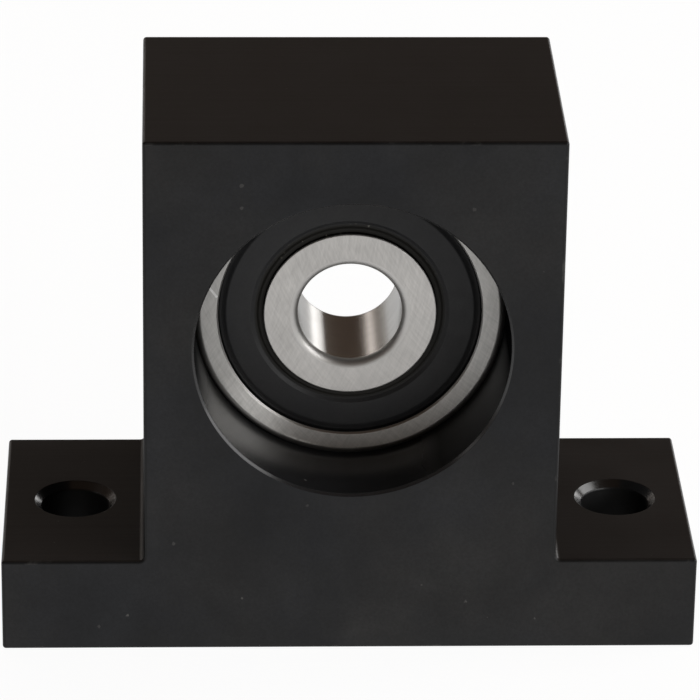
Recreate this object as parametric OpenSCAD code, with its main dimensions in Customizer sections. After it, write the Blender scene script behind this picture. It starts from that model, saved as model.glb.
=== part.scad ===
// Ball screw end support: a one-piece machined housing with two bolted feet,
// carrying a sealed deep-groove ball bearing (10 x 30 x 9) that holds the
// plain end journal of a ball screw.
// Millimetres. +Z is up, the bearing axis runs along Y, the front face looks
// along -Y. Origin: centre of the footprint, on the mounting plane.

/* [Housing] */
// Overall width across both feet
base_w = 67; // [62:1:90]
// Width of the upright block
block_w = 39.6; // [36:0.2:46]
// Overall height
body_h = 53; // [49:0.5:70]
// Thickness of the two feet
foot_h = 9.5; // [8:0.5:14]
// Depth of the housing along the bearing axis
body_l = 27; // [22:0.5:34]
// Height of the bearing axis above the mounting plane
axis_h = 31.6; // [28:0.2:33]
// Edge break on the outer edges
edge_c = 0.3; // [0.1:0.05:0.6]
// Fillet in the corner between the block and a foot
foot_fillet = 0.5; // [0.2:0.1:1.5]

/* [Bore] */
// Depth of the bearing's front face below the front of the housing
seat_d = 8.7; // [4:0.1:9.5]
// Diameter of the clearance bore behind the bearing shoulder
rear_d = 26; // [25:0.5:27]
// Chamfer at the front and rear mouth of the bore
mouth_c = 0.25; // [0.2:0.05:0.8]
// Corner relief groove at the foot of the bearing seat, width
relief_w = 0.8; // [0.5:0.1:1]

/* [Foot holes] */
// Distance between the two bolt holes
hole_pitch = 53.2; // [51:0.2:58]
// Bolt hole diameter
hole_d = 6.6; // [5.5:0.1:7]
// Countersink at both mouths of a bolt hole
hole_c = 0.7; // [0.3:0.1:1.2]

/* [Bearing] */
// Outer diameter of the bearing
brg_od = 30; // [30:1:30]
// Bore of the bearing
brg_id = 10; // [10:1:10]
// Width of the bearing
brg_w = 9; // [9:1:9]
// How far the inner ring stands out behind the outer ring
inner_ext = 2; // [0:0.5:4]
// Ball diameter
ball_d = 4.762; // [4.5:0.001:4.8]
// Pitch circle diameter of the balls
pitch_d = 20; // [19.8:0.05:20.2]
// Inner ring shoulder diameter at the face
land_d = 16.6; // [16:0.1:16.8]
// Play between a ball and either raceway
play = 0.02; // [0.01:0.005:0.04]
// Corner radius of the two rings, at the bore and at the outer diameter
ring_c = 0.75; // [0.6:0.05:0.9]
// Thickness of the cage strip
cage_t = 0.5; // [0.4:0.05:0.6]

/* [Hidden] */
$fn = 96;

balls = 8;
front_y = -body_l / 2;
brg_front_y = front_y + seat_d;
brg_mid_y = brg_front_y + brg_w / 2;
brg_rear_y = brg_front_y + brg_w;
hole_x = hole_pitch / 2;

ball_r = ball_d / 2;
pitch_r = pitch_d / 2;
groove_r = ball_d * 0.515;
// bottoms of the two raceways
race_in_r = pitch_r - ball_r - play;
race_out_r = pitch_r + ball_r + play;
// shoulders beside the raceways
shoulder_in_r = 8.6;
shoulder_out_r = 11.55;
// radii of the outer ring face and of the seal groove behind it
face_in_r = 12.65;
seal_groove_r = 13.05;
land_r = land_d / 2;
pocket_r = ball_r + 0.12;
strip_in_r = 8.95;
strip_out_r = 11.1;

// turns a revolved profile (radius, along-axis) into the bearing frame:
// the profile's second coordinate runs from the bearing mid-plane towards the rear
module on_axis(y = brg_mid_y) {
    translate([0, y, axis_h]) rotate([-90, 0, 0]) children();
}

// block with every edge broken by c
module broken_block(w, l, h, c) {
    module oct(a, b) {
        polygon([[-a/2 + c, -b/2], [a/2 - c, -b/2], [a/2, -b/2 + c], [a/2, b/2 - c],
                 [a/2 - c, b/2], [-a/2 + c, b/2], [-a/2, b/2 - c], [-a/2, -b/2 + c]]);
    }
    intersection() {
        translate([0, 0, h/2]) linear_extrude(height = h, center = true) oct(w, l);
        translate([0, 0, h/2]) rotate([90, 0, 0]) linear_extrude(height = l, center = true) oct(w, h);
        translate([0, 0, h/2]) rotate([90, 0, 90]) linear_extrude(height = w, center = true) oct(l, h);
    }
}

// fillet in the corner between the block and the foot on side s
module corner_fillet(s) {
    f = foot_fillet;
    l = body_l - 2 * edge_c;
    difference() {
        translate([s * (block_w / 2 + f / 2 - 0.1), 0, foot_h + f / 2 - 0.1]) cube([f + 0.2, l, f + 0.2], center = true);
        translate([s * (block_w / 2 + f), 0, foot_h + f]) rotate([90, 0, 0]) cylinder(r = f, h = l + 2, center = true);
    }
}

module foot_hole(x) {
    r = hole_d / 2;
    translate([x, 0, 0]) {
        translate([0, 0, -1]) cylinder(r = r, h = foot_h + 2);
        translate([0, 0, foot_h - hole_c]) cylinder(r1 = r, r2 = r + hole_c + 0.5, h = hole_c + 0.5);
        translate([0, 0, -0.5]) cylinder(r1 = r + hole_c * 0.6 + 0.5, r2 = r, h = hole_c * 0.6 + 0.5);
    }
}

// everything turned out of the housing, one revolved profile
module housing_bore() {
    r = brg_od / 2;
    rr = rear_d / 2;
    y0 = -seat_d;             // front face, measured from the bearing front
    y1 = brg_w;               // shoulder
    y2 = body_l - seat_d;     // rear face
    on_axis(brg_front_y) rotate_extrude($fn = 128)
        polygon([[0, y0 - 1], [r + mouth_c + 1, y0 - 1], [r + mouth_c, y0], [r, y0 + mouth_c],
                 [r, y1 - relief_w], [r + 0.2, y1 - relief_w + 0.2], [r + 0.2, y1],
                 [rr, y1], [rr, y2 - mouth_c], [rr + mouth_c, y2], [rr + mouth_c + 1, y2 + 1],
                 [0, y2 + 1]]);
}

module housing() {
    color([0.165, 0.165, 0.17]) difference() {
        union() {
            broken_block(block_w, body_l, body_h, edge_c);
            broken_block(base_w, body_l, foot_h, edge_c);
            corner_fillet(-1);
            corner_fillet(1);
        }
        housing_bore();
        foot_hole(-hole_x);
        foot_hole(hole_x);
    }
}

// section of the outer ring as a function of the half width
module outer_ring() {
    r = brg_od / 2;
    hw = brg_w / 2;
    color([0.62, 0.62, 0.61]) on_axis() rotate_extrude($fn = 128) difference() {
        polygon([
            // front face, outer corner, rear face
            [face_in_r + 0.25, -hw], [r - ring_c, -hw], [r - ring_c * 0.29, -hw + ring_c * 0.29], [r, -hw + ring_c],
            [r, hw - ring_c], [r - ring_c * 0.29, hw - ring_c * 0.29], [r - ring_c, hw], [face_in_r + 0.25, hw],
            // rear seal groove
            [face_in_r, hw - 0.25], [face_in_r, hw - 0.45], [seal_groove_r, hw - 0.75], [seal_groove_r, hw - 1.2],
            [face_in_r - 0.4, hw - 1.35], [shoulder_out_r + 0.15, hw - 1.35], [shoulder_out_r, hw - 1.5],
            // front seal groove
            [shoulder_out_r, -hw + 1.5], [shoulder_out_r + 0.15, -hw + 1.35], [face_in_r - 0.4, -hw + 1.35],
            [seal_groove_r, -hw + 1.2], [seal_groove_r, -hw + 0.75], [face_in_r, -hw + 0.45], [face_in_r, -hw + 0.25]]);
        translate([race_out_r - groove_r, 0]) circle(r = groove_r, $fn = 96);
    }
}

module inner_ring() {
    ri = brg_id / 2;
    hw = brg_w / 2;
    re = hw + inner_ext;
    c = ring_c;
    color([0.68, 0.68, 0.67]) on_axis() rotate_extrude($fn = 128) difference() {
        polygon([
            [ri, -hw + c], [ri + c * 0.29, -hw + c * 0.29], [ri + c, -hw], [land_r - 0.12, -hw], [land_r, -hw + 0.12], [land_r, -hw + 1.45],
            [shoulder_in_r, -hw + 1.6], [shoulder_in_r, hw - 1.6],
            [land_r, hw - 1.45], [land_r, re - 0.12], [land_r - 0.12, re], [ri + c, re], [ri + c * 0.29, re - c * 0.29], [ri, re - c]]);
        translate([race_in_r + groove_r, 0]) circle(r = groove_r, $fn = 96);
    }
}

// ball k of 1..8, the first one straight above the axis
function ball_a(k) = 90 + (k - 1) * 360 / balls;

module at_pitch(a) {
    on_axis() rotate([0, 0, -a]) translate([pitch_r, 0, 0]) children();
}

module ball(k) {
    color([0.75, 0.75, 0.76]) at_pitch(ball_a(k)) sphere(r = ball_r, $fn = 64);
}

// one half of the pressed ribbon cage; side -1 is the front half, +1 the rear half
module cage_half(side) {
    color([0.6, 0.58, 0.54]) difference() {
        intersection() {
            union() {
                on_axis() translate([0, 0, side > 0 ? 0 : -cage_t]) cylinder(r = strip_out_r, h = cage_t);
                for (k = [1 : balls]) at_pitch(ball_a(k)) sphere(r = pocket_r + cage_t, $fn = 64);
            }
            on_axis() translate([0, 0, side > 0 ? 0 : -4]) difference() {
                cylinder(r = strip_out_r, h = 4);
                translate([0, 0, -1]) cylinder(r = strip_in_r, h = 6);
            }
        }
        for (k = [1 : balls]) at_pitch(ball_a(k)) sphere(r = pocket_r, $fn = 64);
        for (k = [1 : balls]) at_pitch(ball_a(k) + 180 / balls)
            translate([0, 0, -2]) cylinder(r = 0.4, h = 4, $fn = 32);
    }
}

module rivet(k) {
    color([0.66, 0.66, 0.66]) at_pitch(ball_a(k) + 180 / balls) rotate_extrude($fn = 32)
        polygon([[0, -cage_t - 0.35], [0.4, -cage_t - 0.35], [0.72, -cage_t - 0.15], [0.72, -cage_t],
                 [0.4, -cage_t], [0.4, cage_t], [0.72, cage_t], [0.72, cage_t + 0.15],
                 [0.4, cage_t + 0.35], [0, cage_t + 0.35]]);
}

// moulded contact seal; side -1 is the front one, +1 the rear one
module seal(side) {
    hw = brg_w / 2;
    color([0.15, 0.15, 0.155]) on_axis() mirror([0, 0, side > 0 ? 0 : 1]) rotate_extrude($fn = 128)
        polygon([
            // snap bead in the outer ring's groove
            [11.75, hw - 1.33], [12.2, hw - 1.33], [12.86, hw - 1.15], [12.95, hw - 0.95], [12.6, hw - 0.74],
            // rounded shoulder of the face
            [12.54, hw - 0.6], [12.36, hw - 0.54], [12.1, hw - 0.37], [11.85, hw - 0.3],
            // flat face, then the inner groove and the lip
            [9.7, hw - 0.3], [9.52, hw - 0.57], [9.39, hw - 0.57], [9.24, hw - 0.37], [8.9, hw - 0.36],
            [land_r + 0.055, hw - 0.42], [land_r + 0.055, hw - 1.12], [land_r + 0.3, hw - 1.3],
            [8.95, hw - 1.2], [9.2, hw - 1.0], [11.45, hw - 1.0]]);
}

housing();
outer_ring();
inner_ring();
ball(1);  // ball_1
ball(2);  // ball_2
ball(3);  // ball_3
ball(4);  // ball_4
ball(5);  // ball_5
ball(6);  // ball_6
ball(7);  // ball_7
ball(8);  // ball_8
cage_half(-1);  // cage_front_half
cage_half(1);  // cage_rear_half
rivet(1);  // rivet_1
rivet(2);  // rivet_2
rivet(3);  // rivet_3
rivet(4);  // rivet_4
rivet(5);  // rivet_5
rivet(6);  // rivet_6
rivet(7);  // rivet_7
rivet(8);  // rivet_8
seal(-1);  // front_seal
seal(1);  // rear_seal
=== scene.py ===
import bpy, bmesh, math
from mathutils import Vector, Matrix
from mathutils.geometry import delaunay_2d_cdt


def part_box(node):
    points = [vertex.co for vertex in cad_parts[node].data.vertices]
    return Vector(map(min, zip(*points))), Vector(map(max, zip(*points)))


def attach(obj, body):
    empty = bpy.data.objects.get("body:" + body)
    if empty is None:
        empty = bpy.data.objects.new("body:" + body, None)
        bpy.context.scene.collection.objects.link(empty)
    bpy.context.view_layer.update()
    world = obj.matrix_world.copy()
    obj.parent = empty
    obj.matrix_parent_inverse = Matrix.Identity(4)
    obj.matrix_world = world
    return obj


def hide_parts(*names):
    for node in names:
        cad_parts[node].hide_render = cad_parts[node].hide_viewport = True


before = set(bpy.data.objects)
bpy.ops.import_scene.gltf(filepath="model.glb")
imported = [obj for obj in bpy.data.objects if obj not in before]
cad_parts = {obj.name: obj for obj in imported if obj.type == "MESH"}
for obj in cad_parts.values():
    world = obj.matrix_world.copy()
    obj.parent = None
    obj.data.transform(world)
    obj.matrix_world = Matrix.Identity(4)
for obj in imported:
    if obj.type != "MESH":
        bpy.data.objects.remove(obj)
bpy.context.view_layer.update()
scene = bpy.context.scene
scene.view_settings.view_transform = "Standard"
scene.view_settings.look = "None"
scene.view_settings.exposure = 0.0
scene.view_settings.gamma = 1.0

MM = 0.001
TAU = 2 * math.pi
h_lo, h_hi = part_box("housing")
front_y, rear_y = h_lo.y, h_hi.y
or_lo, or_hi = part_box("outer_ring")
ir_lo, ir_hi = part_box("inner_ring")
axis_z = (or_lo.z + or_hi.z) / 2
brg_r = (or_hi.z - or_lo.z) / 2 / MM
brg_front, brg_rear = or_lo.y, or_hi.y
brg_mid = (brg_front + brg_rear) / 2
hw = (brg_rear - brg_front) / 2 / MM
bolt_x = 26.6


# ---------------------------------------------------------------- camera
def make_camera():
    yaw, pitch, roll = (math.radians(a) for a in (2.287, 24.934, -0.837))
    loc = Vector((-17.24, -423.99, 229.11)) * MM + Vector((0, front_y, 0))
    fwd = Vector((math.sin(yaw) * math.cos(pitch), math.cos(yaw) * math.cos(pitch), -math.sin(pitch)))
    right = Vector((math.cos(yaw), -math.sin(yaw), 0))
    down = fwd.cross(right)
    r = math.cos(roll) * right + math.sin(roll) * down
    d = -math.sin(roll) * right + math.cos(roll) * down
    cam = bpy.data.objects.new("camera", bpy.data.cameras.new("camera"))
    scene.collection.objects.link(cam)
    m = Matrix.Identity(4)
    m.col[0][:3] = r
    m.col[1][:3] = -d
    m.col[2][:3] = -fwd
    m.col[3][:3] = loc
    cam.matrix_world = m
    cam.data.sensor_width = 36
    cam.data.lens = 4965 / 700 * 36
    cam.data.clip_start, cam.data.clip_end = 0.02, 20
    scene.camera = cam
    return cam


cam = make_camera()


# ---------------------------------------------------------------- node helpers
class Graph:
    """A material's nodes, written as short expressions. Numbers and sockets mix freely."""

    def __init__(self, name):
        self.mat = bpy.data.materials.new(name)
        self.mat.use_nodes = True
        self.t = self.mat.node_tree
        self.t.nodes.clear()
        self.out = self.t.nodes.new("ShaderNodeOutputMaterial")
        self.co = self.t.nodes.new("ShaderNodeTexCoord").outputs["Object"]

    def n(self, kind, **kw):
        node = self.t.nodes.new(kind)
        for k, v in kw.items():
            setattr(node, k, v)
        return node

    def put(self, sock, v):
        if isinstance(v, bpy.types.NodeSocket):
            self.t.links.new(v, sock)
        elif isinstance(v, tuple) and len(v) == 3 and sock.type == "RGBA":
            sock.default_value = (*v, 1)
        else:
            sock.default_value = v

    def m(self, op, a, b=0.0, c=0.0, clamp=False):
        node = self.n("ShaderNodeMath", operation=op, use_clamp=clamp)
        for s, v in zip(node.inputs, (a, b, c)):
            self.put(s, v)
        return node.outputs[0]

    def xyz(self, v=None):
        node = self.n("ShaderNodeSeparateXYZ")
        self.put(node.inputs[0], self.co if v is None else v)
        return node.outputs

    def vec(self, x, y, z):
        node = self.n("ShaderNodeCombineXYZ")
        for s, v in zip(node.inputs, (x, y, z)):
            self.put(s, v)
        return node.outputs[0]

    def scaled(self, sx, sy, sz, shift=(0, 0, 0)):
        node = self.n("ShaderNodeMapping")
        self.put(node.inputs["Vector"], self.co)
        node.inputs["Location"].default_value = shift
        node.inputs["Scale"].default_value = (sx, sy, sz)
        return node.outputs[0]

    def noise(self, v, scale, detail=2.0, rough=0.5, distort=0.0, dims="3D"):
        node = self.n("ShaderNodeTexNoise", noise_dimensions=dims)
        self.put(node.inputs["Vector"], v)
        node.inputs["Scale"].default_value = scale
        node.inputs["Detail"].default_value = detail
        node.inputs["Roughness"].default_value = rough
        node.inputs["Distortion"].default_value = distort
        return node.outputs[0]

    def remap(self, v, a, b, c=0.0, d=1.0, smooth=False):
        node = self.n("ShaderNodeMapRange", interpolation_type="SMOOTHSTEP" if smooth else "LINEAR")
        self.put(node.inputs["Value"], v)
        for k, x in zip(("From Min", "From Max", "To Min", "To Max"), (a, b, c, d)):
            node.inputs[k].default_value = x
        return node.outputs[0]

    def mix(self, f, a, b):
        node = self.n("ShaderNodeMix", data_type="RGBA")
        self.put(node.inputs[0], f)
        self.put(node.inputs[6], a)
        self.put(node.inputs[7], b)
        return node.outputs[2]

    def gain(self, colour, value):
        """A colour times a number."""
        node = self.n("ShaderNodeVectorMath", operation="SCALE")
        self.put(node.inputs[0], colour)
        self.put(node.inputs["Scale"], value)
        return node.outputs[0]

    def bump(self, height, distance, strength=1.0, normal=None):
        node = self.n("ShaderNodeBump")
        node.inputs["Strength"].default_value = strength
        node.inputs["Distance"].default_value = distance
        self.put(node.inputs["Height"], height)
        if normal is not None:
            self.put(node.inputs["Normal"], normal)
        return node.outputs[0]

    def shader(self, color, rough, normal=None, metallic=0.0, spec=0.5, aniso=0.0, turn=0.0, axis=None, edge=1.0):
        b = self.n("ShaderNodeBsdfPrincipled")
        self.put(b.inputs["Base Color"], color)
        self.put(b.inputs["Roughness"], rough)
        self.put(b.inputs["Metallic"], metallic)
        self.put(b.inputs["Specular IOR Level"], spec)
        b.inputs["Specular Tint"].default_value = (edge, edge, edge, 1)
        b.inputs["Anisotropic"].default_value = aniso
        b.inputs["Anisotropic Rotation"].default_value = turn
        if isinstance(axis, bpy.types.NodeSocket):
            t = self.n("ShaderNodeVectorTransform", vector_type="VECTOR", convert_from="OBJECT", convert_to="WORLD")
            self.put(t.inputs[0], axis)
            self.t.links.new(t.outputs[0], b.inputs["Tangent"])
        elif axis:
            t = self.n("ShaderNodeTangent", direction_type="RADIAL", axis=axis)
            self.t.links.new(t.outputs[0], b.inputs["Tangent"])
        if normal is not None:
            self.put(b.inputs["Normal"], normal)
        self.t.links.new(b.outputs[0], self.out.inputs[0])
        return self.mat

    def specks(self, cell, radius, share, shift=0.0):
        """Up to 1 inside small ragged dots, one at most in each cell, on a share of the cells."""
        node = self.n("ShaderNodeTexVoronoi", feature="F1")
        self.put(node.inputs["Vector"], self.scaled(1, 1, 1, (shift, shift, shift)))
        node.inputs["Scale"].default_value = 1 / cell
        node.inputs["Randomness"].default_value = 1.0
        size = self.xyz(node.outputs["Color"])
        reach = self.m("MULTIPLY_ADD", size[1], radius / cell, radius / cell * 0.4)
        ragged = self.m("MULTIPLY", reach, self.remap(self.noise(self.co, 0.35 / radius, 2.0, 0.6), 0.3, 0.7, 0.45, 1.5))
        near = self.remap(self.m("SUBTRACT", node.outputs["Distance"], ragged), -0.25 * radius / cell, 0.0, 1.0, 0.0)
        return self.m("MULTIPLY", self.m("MULTIPLY", near, self.m("LESS_THAN", size[0], share)), self.m("MULTIPLY_ADD", size[2], 0.75, 0.25))


# ---------------------------------------------------------------- materials
def black_oxide(name, along, rough, spec, bumpiness=1.0, wear=0.0, dust=0.5, vary=1.0, bare=(0.085, 0.083, 0.08), aniso=0.5, oil=False, shade=1.0):
    """Blackened machined steel. along is the direction of the tool marks: X, Y, Z or R (round the bore)."""
    g = Graph(name)
    x, y, z = g.xyz()
    # cloudy tone of the bath, a slow drift between blue-black and brown-black
    cloud = g.noise(g.co, 55.0, 3.0, 0.55)
    patch = g.noise(g.scaled(1, 1, 1, (0.4, 0.1, 0.7)), 190.0, 3.0, 0.6)
    grain = g.noise(g.co, 3600.0, 2.0, 0.7)
    pits = g.noise(g.scaled(1, 1, 1, (0.2, 0.9, 0.3)), 1500.0, 3.0, 0.6)
    broad = g.noise(g.scaled(1, 1, 1, (0.15, 0.8, 0.45)), 95.0, 4.0, 0.62, 0.6)
    tone = g.mix(g.remap(cloud, 0.38, 0.62), (0.0110, 0.0116, 0.0130), (0.0144, 0.0142, 0.0141))
    slow = g.noise(g.scaled(1, 1, 1, (0.6, 0.35, 0.9)), 45.0, 2.0, 0.5)
    # shade below 1 scales the diffuse tone down as painted shade; it is used on the edges, bolt holes and countersinks
    tone = g.gain(tone, g.m("MULTIPLY", g.remap(slow, 0.35, 0.65, 0.86, 1.17), g.remap(broad, 0.32, 0.68, 0.83 * shade, 1.19 * shade)))
    if along in "XZ":
        flat = g.n("ShaderNodeVectorTransform", vector_type="NORMAL", convert_from="WORLD", convert_to="OBJECT")
        geo = g.n("ShaderNodeNewGeometry")
        g.t.links.new(geo.outputs["True Normal"], flat.inputs[0])
        up = g.remap(g.xyz(flat.outputs[0])[2], 0.6, 0.95)
        # painted light: faces that look up take a warmer tone, standing in for the warm light falling on them from
        # overhead
        tone = g.mix(up, tone, (0.0142, 0.0116, 0.0104))
        # painted light: the flange tops (upward faces below 8 to 12 mm) take a brighter tone, making up for the light
        # the block keeps off them
        tone = g.mix(g.m("MULTIPLY", up, g.remap(z, 0.008, 0.012, 1.0, 0.0)), tone, (0.0190, 0.0165, 0.0152))
    k = g.m("MULTIPLY", g.remap(patch, 0.3, 0.7, 0.86, 1.14), g.remap(grain, 0.3, 0.7, 0.84, 1.16))
    col = g.gain(tone, k)
    # tool marks
    if along == "X":
        lines = g.noise(g.scaled(16, 2300, 2300), 1.0, 3.0, 0.7)
    elif along == "Y":
        lines = g.noise(g.scaled(2300, 16, 2300), 1.0, 3.0, 0.7)
    elif along == "Z":
        lines = g.noise(g.scaled(2300, 2300, 16), 1.0, 3.0, 0.7)
    elif along == "R":
        ang = g.m("ARCTAN2", x, g.m("SUBTRACT", z, axis_z))
        lines = g.noise(g.vec(g.m("MULTIPLY", ang, 1.5), g.m("MULTIPLY", y, 5200.0), 0.0), 1.0, 3.0, 0.7)
    else:
        ang = g.m("ARCTAN2", g.m("SUBTRACT", g.m("ABSOLUTE", x), bolt_x * MM), y)
        lines = g.noise(g.vec(g.m("MULTIPLY", ang, 1.2), g.m("MULTIPLY", z, 4200.0), 0.0), 1.0, 3.0, 0.7)
    r = g.m("MULTIPLY_ADD", g.m("SUBTRACT", patch, 0.5), 0.22 * vary, rough)
    r = g.m("MULTIPLY_ADD", g.m("SUBTRACT", lines, 0.5), 0.16 * vary, r)
    r = g.m("MULTIPLY_ADD", g.m("SUBTRACT", grain, 0.5), 0.10 * vary, r, clamp=True)
    h = g.m("ADD", g.m("MULTIPLY", lines, 0.8), g.m("MULTIPLY", pits, 0.5))
    h = g.m("MULTIPLY_ADD", grain, 0.3, h)
    nrm = g.bump(h, 0.000006 * bumpiness)
    if oil:
        # oil has run down the wall and lies glossy low on one side; above it the oxide is dry and matt
        run = g.m("MULTIPLY_ADD", x, 0.35, g.m("SUBTRACT", z, axis_z))
        film = g.remap(g.m("MULTIPLY_ADD", g.m("SUBTRACT", cloud, 0.5), 0.004, run), -0.0122, -0.0078, 1.0, 0.03, True)
        # a thin smear on the other side; where the wall stands upright it is dry, and there its colour is darkened as
        # painted shade
        below = g.m("SUBTRACT", z, axis_z)
        smear = g.m("MULTIPLY", g.remap(x, 0.0030, 0.0120, 0.0, 0.35, True), g.remap(below, -0.0062, -0.0012, 1.0, 0.0))
        film = g.m("MULTIPLY", g.m("MAXIMUM", film, smear), g.remap(below, -0.0045, -0.0015, 1.0, 0.0))
        # painted shade: the wall's colour falls to 0.3 of its tone where it stands upright, at the sides of the recess
        col = g.gain(col, g.remap(g.m("MULTIPLY_ADD", g.m("SUBTRACT", cloud, 0.5), 0.002, below), -0.0052, -0.0008, 1.0, 0.3, True))
        spec = g.m("MULTIPLY", film, spec)
        r = g.m("MULTIPLY_ADD", g.m("SUBTRACT", 1.0, film), 0.3, r, clamp=True)
    metal = 0.0
    if wear > 0:
        # the oxide is rubbed thin where the edge stands proud
        w = g.noise(g.scaled(1, 1, 1, (0.5, 0.2, 0.1)), 420.0, 4.0, 0.65)
        m = g.remap(w, 0.62 - 0.2 * wear, 0.78 - 0.2 * wear)
        col = g.mix(g.m("MULTIPLY", m, 0.6), col, bare)
        metal = g.m("MULTIPLY", m, 0.6)
    if dust > 0:
        d = g.specks(0.0022, 0.00015, dust)
        col = g.mix(g.m("MULTIPLY", d, 0.3), col, (0.30, 0.29, 0.27))
        r = g.m("MAXIMUM", r, g.m("MULTIPLY", d, 0.9))
    if along in "RH":
        # tool marks run round the hole, so the sheen spreads along its axis
        if along == "R":
            around = g.vec(g.m("SUBTRACT", axis_z, z), 0.0, x)
        else:
            around = g.vec(g.m("MULTIPLY", y, -1.0), g.m("MULTIPLY", g.m("SIGN", x), g.m("SUBTRACT", g.m("ABSOLUTE", x), bolt_x * MM)), 0.0)
        return g.shader(col, r, nrm, metal, spec, aniso, 0.25, around)
    return g.shader(col, r, nrm, metal, spec)


def ground_face(name, rough=0.34, aniso=0.3, color=(0.425, 0.413, 0.398), nick=False):
    """Steel ring face off a double-disc grinder: crossing arcs of fine scratches."""
    g = Graph(name)
    x, y, z = g.xyz()

    def arcs(cx, cz, across, along):
        dx, dz = g.m("SUBTRACT", x, cx), g.m("SUBTRACT", z, cz)
        rad = g.m("SQRT", g.m("MULTIPLY_ADD", dx, dx, g.m("MULTIPLY", dz, dz)))
        return g.noise(g.vec(g.m("MULTIPLY", rad, across), g.m("MULTIPLY", g.m("ARCTAN2", dz, dx), along), g.m("MULTIPLY", y, 30.0)), 1.0, 3.0, 0.65)

    a = arcs(0.034, 0.021, 4200.0, 16.0)
    b = arcs(-0.040, 0.012, 3800.0, 18.0)
    c = arcs(0.0, 0.0, 5200.0, 2.2)
    cloud = g.noise(g.co, 260.0, 3.0, 0.55)
    hatch = g.m("ADD", g.m("MULTIPLY", a, 0.5), g.m("MULTIPLY", b, 0.5))
    k = g.m("MULTIPLY", g.remap(hatch, 0.35, 0.65, 0.84, 1.13), g.remap(cloud, 0.3, 0.7, 0.94, 1.06))
    col = g.gain(color, k)
    r = g.m("MULTIPLY_ADD", g.m("SUBTRACT", hatch, 0.5), 0.30, rough)
    r = g.m("MULTIPLY_ADD", g.m("SUBTRACT", c, 0.5), 0.12, r, clamp=True)
    h = g.m("ADD", hatch, g.m("MULTIPLY", c, 0.7))
    if nick:
        # a scratch across the face at one side, and a rubbed stretch of the outer edge low down
        ax, az, ux, uz, length = -0.01386, 0.00324, 0.6, -0.8, 0.00175
        dx, dz = g.m("SUBTRACT", x, ax), g.m("SUBTRACT", z, az)
        t = g.m("MULTIPLY_ADD", dx, ux, g.m("MULTIPLY", dz, uz))
        t = g.m("MINIMUM", g.m("MAXIMUM", t, 0.0), length)
        ex, ez = g.m("MULTIPLY_ADD", t, -ux, dx), g.m("MULTIPLY_ADD", t, -uz, dz)
        off = g.m("SQRT", g.m("MULTIPLY_ADD", ex, ex, g.m("MULTIPLY", ez, ez)))
        off = g.m("MULTIPLY_ADD", g.m("SUBTRACT", g.noise(g.co, 2600.0, 2.0, 0.6), 0.5), 0.00008, off)
        mark = g.remap(off, 0.00008, 0.00016, 1.0, 0.0)
        rad = g.m("SQRT", g.m("MULTIPLY_ADD", x, x, g.m("MULTIPLY", z, z)))
        low = g.m("SUBTRACT", g.m("ARCTAN2", z, x), -1.89)
        band = g.m("MULTIPLY", g.remap(g.m("ABSOLUTE", low), 0.05, 0.15, 1.0, 0.0), g.remap(rad, 0.01402, 0.01425))
        rub = g.m("MULTIPLY", band, g.remap(g.noise(g.scaled(1, 1, 1, (0.2, 0.1, 0.6)), 1100.0, 3.0, 0.6), 0.42, 0.6))
        worn = g.m("MAXIMUM", mark, g.m("MULTIPLY", rub, 0.8))
        col = g.mix(worn, col, (0.95, 0.94, 0.92))
        r = g.m("MULTIPLY_ADD", worn, 0.12, r, clamp=True)
        h = g.m("MULTIPLY_ADD", worn, -1.5, h)
    return g.shader(col, r, g.bump(h, 0.0000016), 1.0, 0.5, aniso, 0.25, "Y")


def ground_round(name, rough=0.19, color=(0.50, 0.49, 0.475)):
    """Ground cylinder or rolled edge: fine lines round the axis."""
    g = Graph(name)
    x, y, z = g.xyz()
    ang = g.m("ARCTAN2", x, z)
    lines = g.noise(g.vec(g.m("MULTIPLY", ang, 2.0), g.m("MULTIPLY", y, 7000.0), 0.0), 1.0, 3.0, 0.7)
    slow = g.noise(g.vec(g.m("MULTIPLY", ang, 0.8), g.m("MULTIPLY", y, 900.0), 0.3), 1.0, 2.0, 0.5)
    col = g.gain(color, g.m("MULTIPLY", g.remap(lines, 0.3, 0.7, 0.93, 1.05), g.remap(slow, 0.3, 0.7, 0.95, 1.04)))
    r = g.m("MULTIPLY_ADD", g.m("SUBTRACT", lines, 0.5), 0.12, rough, clamp=True)
    return g.shader(col, r, g.bump(lines, 0.0000006), 1.0, 0.5, 0.6, 0.25, "Y", 0.65)


def polished(name, color=(0.6, 0.595, 0.585), rough=0.09):
    """Lapped bearing steel with faint haze and a few hairlines."""
    g = Graph(name)
    haze = g.noise(g.co, 900.0, 3.0, 0.6)
    hair = g.noise(g.scaled(3000, 300, 3000), 1.0, 2.0, 0.5)
    col = g.gain(color, g.remap(haze, 0.3, 0.7, 0.96, 1.03))
    r = g.m("MULTIPLY_ADD", haze, 0.08, g.m("MULTIPLY_ADD", g.m("SUBTRACT", hair, 0.5), 0.05, rough - 0.03), clamp=True)
    return g.shader(col, r, g.bump(hair, 0.0000004), 1.0)


def pressed_strip(name):
    """Cold-rolled cage strip: directional grain, tumbled edges, a trace of straw colour."""
    g = Graph(name)
    roll = g.noise(g.scaled(900, 2600, 900), 1.0, 3.0, 0.6)
    cloud = g.noise(g.co, 500.0, 3.0, 0.6)
    col = g.mix(g.remap(cloud, 0.3, 0.7), (0.40, 0.385, 0.36), (0.50, 0.485, 0.455))
    col = g.gain(col, g.remap(roll, 0.3, 0.7, 0.9, 1.07))
    r = g.m("MULTIPLY_ADD", g.m("SUBTRACT", roll, 0.5), 0.25, 0.36, clamp=True)
    return g.shader(col, r, g.bump(g.m("ADD", roll, cloud), 0.000002), 1.0)


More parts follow.
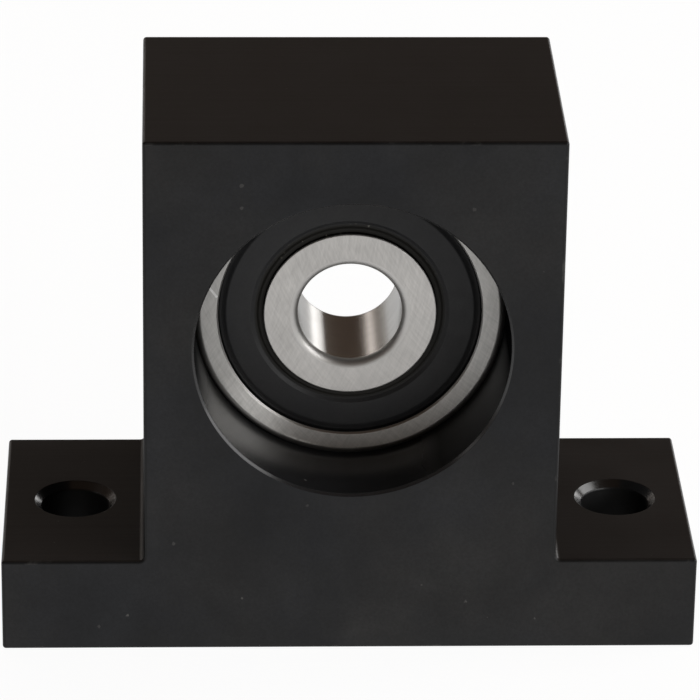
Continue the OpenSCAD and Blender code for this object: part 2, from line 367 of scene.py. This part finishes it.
def moulded_rubber(name, spec=0.27):
    """Black nitrile rubber: fine moulded grain, faint flow rings, a bloom and a little lint."""
    g = Graph(name)
    x, y, z = g.xyz()
    rad = g.m("SQRT", g.m("MULTIPLY_ADD", x, x, g.m("MULTIPLY", z, z)))
    grain = g.noise(g.co, 4200.0, 2.0, 0.6)
    skin = g.noise(g.co, 900.0, 3.0, 0.6)
    bloom = g.noise(g.scaled(1, 1, 1, (0.3, 0.3, 0.1)), 150.0, 3.0, 0.55)
    rings = g.noise(g.vec(g.m("MULTIPLY", rad, 4200.0), g.m("MULTIPLY", g.m("ARCTAN2", x, z), 0.8), 0.0), 1.0, 2.0, 0.5)
    col = g.mix(g.remap(bloom, 0.35, 0.68), (0.0125, 0.0128, 0.0140), (0.0172, 0.0172, 0.0180))
    col = g.gain(col, g.m("MULTIPLY", g.remap(grain, 0.3, 0.7, 0.88, 1.12), g.remap(rings, 0.3, 0.7, 0.96, 1.04)))
    # a film of grease browns the lip and takes its sheen away
    film = g.remap(g.m("MULTIPLY_ADD", g.m("SUBTRACT", skin, 0.5), 0.0003, rad), 0.0090, 0.0093, 1.0, 0.0)
    col = g.mix(film, col, (0.0112, 0.0105, 0.0087))
    r = g.m("MULTIPLY_ADD", g.m("SUBTRACT", skin, 0.5), 0.2, 0.47)
    r = g.m("MULTIPLY_ADD", g.m("SUBTRACT", bloom, 0.5), 0.2, r)
    r = g.m("MULTIPLY_ADD", film, 0.22, r, clamp=True)
    d = g.specks(0.0021, 0.000085, 0.4, 0.13)
    crumbs = g.m("MULTIPLY", g.specks(0.00062, 0.00012, 0.85, 0.31), g.m("MULTIPLY", film, g.remap(g.m("MULTIPLY_ADD", g.m("SUBTRACT", bloom, 0.5), 0.006, z), 0.004, 0.0075)))
    d = g.m("MAXIMUM", d, crumbs)
    col = g.mix(d, col, (0.24, 0.235, 0.2))
    h = g.m("ADD", g.m("MULTIPLY", grain, 0.35), g.m("MULTIPLY", skin, 0.7))
    h = g.m("MULTIPLY_ADD", rings, 0.3, h)
    return g.shader(col, r, g.bump(h, 0.000007), 0.0, spec)


M = {
    "milled": black_oxide("oxide_milled", "X", 0.46, 0.172, 1.0, 0.0, 0.34),
    "milled_side": black_oxide("oxide_milled_side", "Z", 0.46, 0.18, 1.0, 0.0, 0.34),
    # edge, drilled and countersunk oxide take shade below 1: painted shade darkening their tone
    "edge": black_oxide("oxide_edge", "X", 0.40, 0.2, 0.5, 0.08, 0.0, shade=0.45),
    "turned": black_oxide("oxide_turned", "R", 0.20, 0.5, 0.15, 0.0, 0.1, 0.25, aniso=0.3, oil=True),
    "turned_edge": black_oxide("oxide_turned_edge", "R", 0.24, 0.6, 0.3, 0.0, 0.0, 0.4, aniso=0.3),
    "drilled": black_oxide("oxide_drilled", "H", 0.40, 0.4, 1.0, 0.0, 0.1, shade=0.5),
    "sink": black_oxide("oxide_countersunk", "H", 0.24, 1.0, 0.3, 0.0, 0.0, 0.4, aniso=0.3, shade=0.1),
    "face": ground_face("ring_ground_face"),
    "face_outer": ground_face("outer_ring_ground_face", 0.40, 0.95, (0.49, 0.48, 0.462), True),
    "round": ground_round("ring_ground_round"),
    "corner": ground_round("ring_corner", 0.3, (0.42, 0.41, 0.395)),
    "bore_corner": ground_round("bore_corner", 0.42, (0.48, 0.47, 0.455)),
    "race": polished("raceway_polished"),
    "ball": polished("ball_polished", (0.62, 0.615, 0.61), 0.06),
    "cage": pressed_strip("cage_strip"),
    "rubber": moulded_rubber("seal_rubber"),
}


# ---------------------------------------------------------------- mesh helpers
class Build:
    """Collects shared vertices, faces, corner normals and material slots, then makes one object."""

    def __init__(self):
        self.v, self.key, self.f, self.n, self.s = [], {}, [], [], []

    def vid(self, p):
        """The index of the vertex at p, shared with any made within a twentieth of a micron."""
        near = [[math.floor(c * 1000)] for c in p]
        for o, c in zip(near, p):
            r = c * 1000 - o[0]
            if r < 0.05:
                o.append(o[0] - 1)
            elif r > 0.95:
                o.append(o[0] + 1)
        for i in near[0]:
            for j in near[1]:
                for k in near[2]:
                    if (i, j, k) in self.key:
                        return self.key[i, j, k]
        self.key[near[0][0], near[1][0], near[2][0]] = len(self.v)
        self.v.append(tuple(p))
        return len(self.v) - 1

    def face(self, pts, normals, slot):
        ids = [self.vid(p) for p in pts]
        keep = [i for i in range(len(ids)) if ids[i] != ids[i - 1]]
        if len(keep) < 3:
            return
        ids, normals = [ids[i] for i in keep], [Vector(normals[i]) for i in keep]
        a, b, c = (Vector(self.v[i]) for i in ids[:3])
        out = (b - a).cross(c - a)
        if len(ids) == 4:
            out = (c - a).cross(Vector(self.v[ids[3]]) - b)
        if out.dot(sum(normals, Vector())) < 0:
            ids.reverse()
            normals.reverse()
        self.f.append(ids)
        self.n += normals
        self.s.append(slot)

    def make(self, name, mats, origin=(0, 0, 0)):
        me = bpy.data.meshes.new(name)
        me.from_pydata([Vector(p) * MM for p in self.v], [], self.f)
        for m in mats:
            me.materials.append(m)
        me.polygons.foreach_set("material_index", self.s)
        me.polygons.foreach_set("use_smooth", [True] * len(self.f))
        me.update()
        me.normals_split_custom_set([n.normalized() for n in self.n])
        me.validate(clean_customdata=False)
        o = bpy.data.objects.new(name, me)
        scene.collection.objects.link(o)
        o.location = origin
        return o


def rounded(points, closed=True, arc=5):
    """Samples of an outline of straight runs with rounded corners.
    points: (a, b, radius, slot of the run that starts here[, normal]).
    Returns runs of samples (a, b, na, nb) with a slot each; the solid lies to the left of the path."""
    n = len(points)
    runs = []
    tang = []
    for i, p in enumerate(points):
        q, r = points[i - 1], points[(i + 1) % n]
        u = Vector((p[0] - q[0], p[1] - q[1]))
        w = Vector((r[0] - p[0], r[1] - p[1]))
        lu, lw = u.length, w.length
        u.normalize()
        w.normalize()
        turn = math.atan2(u.x * w.y - u.y * w.x, u.dot(w))
        t = 0.0
        if p[2] > 0 and abs(turn) > 0.02 and (closed or 0 < i < n - 1):
            t = min(p[2] * math.tan(abs(turn) / 2), 0.46 * lu, 0.46 * lw)
        tang.append((t, turn, u, w))
    for i, p in enumerate(points):
        t, turn, u, w = tang[i]
        c = Vector((p[0], p[1]))
        slot = p[3]
        if t > 0:
            rad = t / math.tan(abs(turn) / 2)
            start = c - u * t
            side = Vector((-u.y, u.x)) * (1 if turn > 0 else -1)
            mid = start + side * rad
            k = max(2, int(math.ceil(abs(turn) / (math.pi / 2) * arc)))
            pts = []
            for j in range(k + 1):
                a = turn * j / k
                d = start - mid
                d = Vector((d.x * math.cos(a) - d.y * math.sin(a), d.x * math.sin(a) + d.y * math.cos(a)))
                nn = d.normalized() * (1 if turn > 0 else -1)
                pts.append((mid.x + d.x, mid.y + d.y, nn.x, nn.y))
            runs.append((pts, p[4] if len(p) > 4 else slot))
        if closed or i < n - 1:
            r = points[(i + 1) % n]
            t2 = tang[(i + 1) % n][0]
            nn = Vector((w.y, -w.x))
            a = c + w * t
            b = Vector((r[0], r[1])) - w * t2
            if (b - a).length > 1e-6:
                runs.append(([(a.x, a.y, nn.x, nn.y), (b.x, b.y, nn.x, nn.y)], slot))
    return runs


def circle_run(cx, cy, rad, a0, a1, k, slot, inward):
    """Samples along a circle, for a raceway; inward normals point at its centre."""
    pts = []
    s = -1 if inward else 1
    for j in range(k + 1):
        a = a0 + (a1 - a0) * j / k
        pts.append((cx + rad * math.cos(a), cy + rad * math.sin(a), s * math.cos(a), s * math.sin(a)))
    return (pts, slot)


def turn_profile(b, runs, segs, centre=(0, 0, 0)):
    """Revolves runs of (radius, along Y, normal) about the Y axis through centre, in mm."""
    cx, cy, cz = centre
    cs = [(math.cos(TAU * i / segs), math.sin(TAU * i / segs)) for i in range(segs)]
    for pts, slot in runs:
        for p, q in zip(pts, pts[1:]):
            for i in range(segs):
                c0, s0 = cs[i]
                c1, s1 = cs[(i + 1) % segs]
                b.face(
                    [(cx + p[0] * c0, cy + p[1], cz + p[0] * s0), (cx + q[0] * c0, cy + q[1], cz + q[0] * s0),
                     (cx + q[0] * c1, cy + q[1], cz + q[0] * s1), (cx + p[0] * c1, cy + p[1], cz + p[0] * s1)],
                    [(p[2] * c0, p[3], p[2] * s0), (q[2] * c0, q[3], q[2] * s0),
                     (q[2] * c1, q[3], q[2] * s1), (p[2] * c1, p[3], p[2] * s1)],
                    slot,
                )


axis_at = Vector((0, brg_mid, axis_z))


# ---------------------------------------------------------------- bearing rings
def make_outer_ring():
    b = Build()
    R, h = brg_r, hw
    F, C, E, W = 0, 1, 2, 3  # face, cylinder, edge, raceway
    cr, gr, sh = 9.9486, 2.45243, 11.55
    a = math.acos((sh - cr) / gr)
    t = gr * math.sin(a)
    half = [(sh, 1.5, 0.04, C), (sh + 0.15, 1.35, 0.04, C), (12.25, 1.35, 0.05, C), (13.05, 1.2, 0.06, C),
            (13.05, 0.75, 0.06, C), (12.65, 0.5, 0.03, C)]
    path = [(sh, -t, 0, C)] + [(r, d - h, f, q) for r, d, f, q in half]
    path += [(12.65, -h + 0.17, 0.05, E), (12.82, -h, 0.06, F), (R, -h, 0.7, C, E),
             (R, h, 0.7, F, E), (12.82, h, 0.06, E), (12.65, h - 0.17, 0.05, C)]
    path += [(r, h - d, f, q) for r, d, f, q in reversed(half)] + [(sh, t, 0, C)]
    runs = rounded(path, False, 6)
    runs.append(circle_run(cr, 0, gr, a, -a, 24, W, True))
    turn_profile(b, runs, 256)
    o = b.make("bearing_outer_ring", [M["face_outer"], M["round"], M["corner"], M["race"]], axis_at)
    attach(o, "housing")
    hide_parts("outer_ring")
    return o


def make_inner_ring():
    b = Build()
    h, tail = hw, (ir_hi.y - brg_rear) / MM
    ri, land, sh = 5.0, 8.3, 8.6
    F, C, E, W = 0, 1, 2, 3
    cr, gr = 10.05143, 2.45243
    a = math.acos((cr - sh) / gr)
    t = gr * math.sin(a)
    path = [(sh, t, 0, C), (sh, h - 1.6, 0.04, C), (land, h - 1.45, 0.04, C), (land, h + tail, 0.13, F, E), (ri, h + tail, 0.75, C, E),
            (ri, -h, 0.75, F, E), (land, -h, 0.13, C, E), (land, -h + 1.45, 0.04, C), (sh, -h + 1.6, 0.04, C), (sh, -t, 0, C)]
    runs = rounded(path, closed=False, arc=8)
    runs.append(circle_run(cr, 0, gr, math.pi + a, math.pi - a, 24, W, True))
    turn_profile(b, runs, 224)
    o = b.make("bearing_inner_ring", [M["face"], M["round"], M["bore_corner"], M["race"]], axis_at)
    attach(o, "inner_ring")
    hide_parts("inner_ring")
    return o


def make_seal(side):
    """Moulded seal; side -1 is the front. d is the depth below the ring face."""
    b = Build()
    prof = [(12.60, 0.74, 0.04), (12.95, 0.95, 0.08), (12.86, 1.15, 0.06), (12.2, 1.33, 0.05), (11.75, 1.33, 0.1), (11.45, 1.0, 0.1),
            (9.2, 1.0, 0.1), (8.95, 1.2, 0.05), (8.6, 1.3, 0.05), (8.355, 1.12, 0.04), (8.355, 0.42, 0.05),
            (8.74, 0.38, 0.2), (8.94, 0.53, 0.12), (9.22, 0.54, 0.12),
            (9.58, 0.30, 0.2), (11.92, 0.30, 0.5), (12.36, 0.54, 0.3), (12.54, 0.60, 0.05)]
    pts = [(r, side * (hw - d), f, 0) for r, d, f in prof]
    area = sum(p[0] * q[1] - q[0] * p[1] for p, q in zip(pts, pts[1:] + pts[:1]))
    if area < 0:
        pts.reverse()
    turn_profile(b, rounded(pts, True, 5), 224)
    name = "seal_front" if side < 0 else "seal_rear"
    o = b.make(name, [M["rubber"]], axis_at)
    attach(o, "housing")
    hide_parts("front_seal" if side < 0 else "rear_seal")
    return o


# ---------------------------------------------------------------- housing
def inside(poly, x, y):
    c = False
    for (x0, y0), (x1, y1) in zip(poly, poly[1:] + poly[:1]):
        if (y0 > y) != (y1 > y) and x < (x1 - x0) * (y - y0) / (y1 - y0) + x0:
            c = not c
    return c


def plate(b, outline, holes, place, normal, slot):
    """Fills a flat outline with round holes cut out. place maps (u, v) to a point."""
    pts, edges = [], []
    for loop in [outline] + holes:
        s = len(pts)
        pts += [Vector(p) for p in loop]
        edges += [(s + i, s + (i + 1) % len(loop)) for i in range(len(loop))]
    vs, _, fs, *_ = delaunay_2d_cdt(pts, edges, [], 0, 1e-7)
    for f in fs:
        cx = sum(vs[i].x for i in f) / len(f)
        cy = sum(vs[i].y for i in f) / len(f)
        if inside(outline, cx, cy) and not any(inside(h, cx, cy) for h in holes):
            b.face([place(vs[i].x, vs[i].y) for i in f], [normal] * len(f), slot)


def ring_points(cx, cy, rad, segs):
    return [(cx + rad * math.cos(TAU * i / segs), cy + rad * math.sin(TAU * i / segs)) for i in range(segs)]


def make_housing():
    b = Build()
    FLAT, SIDE, EDGE, BORE, MOUTH, HOLE, SINK = range(7)
    B2, H, L2 = h_hi.x / MM, h_hi.z / MM, h_hi.y / MM
    W2, foot, az = 19.8, 9.5, axis_z / MM
    e, fil = 0.32, 0.5
    # the outline seen from the front, counter-clockwise; every corner rounded
    T = [(-B2, 0, e), (B2, 0, e), (B2, foot, e), (W2, foot, fil), (W2, H, e), (-W2, H, e), (-W2, foot, fil), (-B2, foot, e)]
    hollow = (3, 6)
    runs = rounded([(x, z, r, i) for i, (x, z, r) in enumerate(T)], True, 4)
    # inset, depth and tilt of the normal across the rounded front and rear rims
    k = 4
    rim = [(e * (1 - math.cos(a)), e * (1 - math.sin(a)), a) for a in (math.pi / 2 * j / k for j in range(k + 1))]
    y0, y1 = -(L2 - e), L2 - e
    for pts, corner in runs:
        straight = len(pts) == 2
        for p, q in zip(pts, pts[1:]):
            for s in (-1, 1):
                for (i0, d0, a0), (i1, d1, a1) in zip(rim, rim[1:]):
                    b.face([(w[0] - w[2] * i, s * (L2 - d), w[1] - w[3] * i) for w, i, d in ((p, i0, d0), (p, i1, d1), (q, i1, d1), (q, i0, d0))],
                           [(w[2] * math.cos(a), s * math.sin(a), w[3] * math.cos(a)) for w, a in ((p, a0), (p, a1), (q, a1), (q, a0))], EDGE)
            drilled = straight and corner in (0, 2, 6)
            if not drilled:
                slot = EDGE if not straight and corner not in hollow else FLAT if abs(p[3]) > 0.9 else SIDE
                b.face([(p[0], y0, p[1]), (q[0], y0, q[1]), (q[0], y1, q[1]), (p[0], y1, p[1])],
                       [(p[2], 0, p[3]), (q[2], 0, q[3]), (q[2], 0, q[3]), (p[2], 0, p[3])], slot)
    # bolt holes with a countersink at both mouths
    hr, hs = 3.3, 96
    prof = rounded([(6, foot, 0, FLAT), (hr + 0.7, foot, 0.12, SINK, FLAT), (hr, foot - 0.7, 0.3, HOLE),
                    (hr, 0.6, 0.15, SINK), (hr + 0.6, 0, 0.1, SINK), (6, 0, 0, FLAT)], False, 5)
    top_r, bot_r = prof[0][0][-1][0], prof[-1][0][0][0]
    for pts, slot in prof[1:-1]:
        for p, q in zip(pts, pts[1:]):
            for i in range(hs):
                c0, s0 = math.cos(TAU * i / hs), math.sin(TAU * i / hs)
                c1, s1 = math.cos(TAU * ((i + 1) % hs) / hs), math.sin(TAU * ((i + 1) % hs) / hs)
                for X in (-bolt_x, bolt_x):
                    b.face([(X + w[0] * c, w[0] * sn, w[1]) for w, c, sn in ((p, c0, s0), (q, c0, s0), (q, c1, s1), (p, c1, s1))],
                           [(w[2] * c, w[2] * sn, w[3]) for w, c, sn in ((p, c0, s0), (q, c0, s0), (q, c1, s1), (p, c1, s1))], slot)
    for s in (-1, 1):
        xa, xb = sorted((s * (W2 + fil), s * (B2 - e)))
        plate(b, [(xa, y0), (xb, y0), (xb, y1), (xa, y1)], [ring_points(s * bolt_x, 0, top_r, hs)],
              lambda u, v: (u, v, foot), (0, 0, 1), FLAT)
    plate(b, [(-(B2 - e), y0), (B2 - e, y0), (B2 - e, y1), (-(B2 - e), y1)],
          [ring_points(-bolt_x, 0, bot_r, hs), ring_points(bolt_x, 0, bot_r, hs)], lambda u, v: (u, v, 0.0), (0, 0, -1), FLAT)
    # the bore, from the rear mouth to the front mouth
    R, rr, c, segs = brg_r + 0.002, 13.0, 0.25, 256
    ys = brg_rear / MM
    prof = rounded([(rr + 3, L2, 0, FLAT), (rr + c, L2, 0.08, MOUTH), (rr, L2 - c, 0.1, BORE), (rr, ys, 0.12, BORE),
                    (R + 0.2, ys, 0.05, BORE), (R + 0.2, ys - 0.6, 0.08, BORE), (R, ys - 0.8, 0.03, BORE),
                    (R, -L2 + c, 0.1, MOUTH), (R + c, -L2, 0.08, FLAT), (R + 3, -L2, 0, FLAT)], False, 5)
    rear_r, front_r = prof[0][0][-1][0], prof[-1][0][0][0]
    turn_profile(b, prof[1:-1], segs, (0, 0, az))
    outline = []
    for pts, _ in runs:
        for w in pts:
            q = (w[0] - w[2] * e, w[1] - w[3] * e)
            if not outline or math.dist(q, outline[-1]) > 1e-4:
                outline.append(q)
    while math.dist(outline[0], outline[-1]) < 1e-4:
        outline.pop()
    plate(b, outline, [ring_points(0, az, front_r, segs)], lambda u, v: (u, -L2, v), (0, -1, 0), FLAT)
    plate(b, outline, [ring_points(0, az, rear_r, segs)], lambda u, v: (u, L2, v), (0, 1, 0), FLAT)
    o = b.make("machined_housing", [M[n] for n in ("milled", "milled_side", "edge", "turned", "turned_edge", "drilled", "sink")])
    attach(o, "housing")
    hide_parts("housing")
    return o


make_housing()
make_outer_ring()
make_inner_ring()
make_seal(-1)
make_seal(1)


def put(obj, mat):
    obj.data.materials.clear()
    obj.data.materials.append(mat)


for n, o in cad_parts.items():
    if n.startswith("ball"):
        put(o, M["ball"])
    elif n.startswith(("cage", "rivet")):
        put(o, M["cage"])


# ---------------------------------------------------------------- floor and light
def make_floor():
    """White sheet under the part: it glows evenly, with the glow taken away where the part stands on it as a painted
    shadow, and a painted glow under each bolt hole.
    """
    me = bpy.data.meshes.new("floor")
    s = 6.0
    me.from_pydata([(-s, -s, 0), (s, -s, 0), (s, s, 0), (-s, s, 0)], [], [(0, 1, 2, 3)])
    o = bpy.data.objects.new("floor", me)
    scene.collection.objects.link(o)
    g = Graph("floor_white")
    x, y, _ = g.xyz()
    past = g.m("MAXIMUM", g.m("SUBTRACT", g.m("ABSOLUTE", x), h_hi.x), g.m("SUBTRACT", g.m("ABSOLUTE", y), h_hi.y))
    hole = g.m("SQRT", g.m("MULTIPLY_ADD", y, y, g.m("POWER", g.m("SUBTRACT", g.m("ABSOLUTE", x), bolt_x * MM), 2.0)))
    # painted shadow and light: no glow beneath the part, and a glow of 0.6 on the floor under each bolt hole that
    # lights the hole from below
    lit = g.m("MAXIMUM", g.remap(past, -0.0012, -0.0001, 0.0, 0.935, True), g.remap(hole, 0.0030, 0.0034, 0.6, 0.0))
    b = g.n("ShaderNodeBsdfPrincipled")
    g.put(b.inputs["Base Color"], g.mix(g.remap(past, -0.0012, -0.0001), (0.8, 0.8, 0.8), (0.12, 0.12, 0.12)))
    b.inputs["Roughness"].default_value = 0.9
    b.inputs["Specular IOR Level"].default_value = 0.0
    b.inputs["Emission Color"].default_value = (1.0, 1.0, 1.0, 1)
    g.put(b.inputs["Emission Strength"], lit)
    g.t.links.new(b.outputs[0], g.out.inputs[0])
    me.materials.append(g.mat)
    return o


floor = make_floor()


def panel(name, az, el, dist, w, h, radiance, color=(1, 1, 1), aim=(0, 0, 0.03)):
    """Soft panel: azimuth from +Y towards +X and elevation in degrees, size in metres."""
    a, e = math.radians(az), math.radians(el)
    d = bpy.data.lights.new(name, "AREA")
    d.shape = "RECTANGLE"
    d.size, d.size_y = w, h
    d.energy = radiance * math.pi * w * h
    d.color = color
    o = bpy.data.objects.new(name, d)
    scene.collection.objects.link(o)
    o.location = Vector(aim) + dist * Vector((math.sin(a) * math.cos(e), math.cos(a) * math.cos(e), math.sin(e)))
    o.rotation_mode = "QUATERNION"
    o.rotation_quaternion = (Vector(aim) - o.location).to_track_quat("-Z", "Y")
    o.visible_camera = False
    return o


world = bpy.data.worlds.new("world")
scene.world = world
world.use_nodes = True
wt = world.node_tree
bg = wt.nodes["Background"]
bg.inputs[1].default_value = 1.0
# the room: dark and warm overhead, paler towards the horizon
tc = wt.nodes.new("ShaderNodeTexCoord")
up = wt.nodes.new("ShaderNodeSeparateXYZ")
ramp = wt.nodes.new("ShaderNodeValToRGB")
ramp.color_ramp.interpolation = "B_SPLINE"
for p, c in ((0.0, (0.55, 0.53, 0.50)), (0.10, (0.30, 0.27, 0.24)), (0.22, (0.13, 0.10, 0.08)), (0.40, (0.075, 0.052, 0.038)), (1.0, (0.07, 0.05, 0.038))):
    if p in (0.0, 1.0):
        stop = ramp.color_ramp.elements[int(p)] if p == 0.0 else ramp.color_ramp.elements[-1]
    else:
        stop = ramp.color_ramp.elements.new(p)
    stop.position = p
    stop.color = (*c, 1)
wt.links.new(tc.outputs["Generated"], up.inputs[0])
wt.links.new(up.outputs[2], ramp.inputs[0])
wt.links.new(ramp.outputs[0], bg.inputs[0])
pale = wt.nodes.new("ShaderNodeBackground")
pale.inputs[0].default_value = (0.93, 0.93, 0.93, 1)
mix = wt.nodes.new("ShaderNodeMixShader")
lp = wt.nodes.new("ShaderNodeLightPath")
wt.links.new(lp.outputs["Is Camera Ray"], mix.inputs[0])
wt.links.new(bg.outputs[0], mix.inputs[1])
wt.links.new(pale.outputs[0], mix.inputs[2])
wt.links.new(mix.outputs[0], wt.nodes["World Output"].inputs[0])

panel("sweep_back", 0, 3.5, 1.4, 2.2, 0.17, 0.18)
panel("card_back_left", -31, 27, 1.4, 0.7, 0.62, 1.35, (1.0, 0.93, 0.88))
panel("window_back_right", 39, 6.0, 1.4, 0.92, 0.34, 2.4)
panel("window_right", 90, 22, 1.4, 1.5, 1.15, 2.8)
panel("window_front_right", 136, 16, 1.4, 0.7, 0.5, 5.0)
panel("card_left", -102, 24, 1.4, 0.5, 0.3, 1.2)
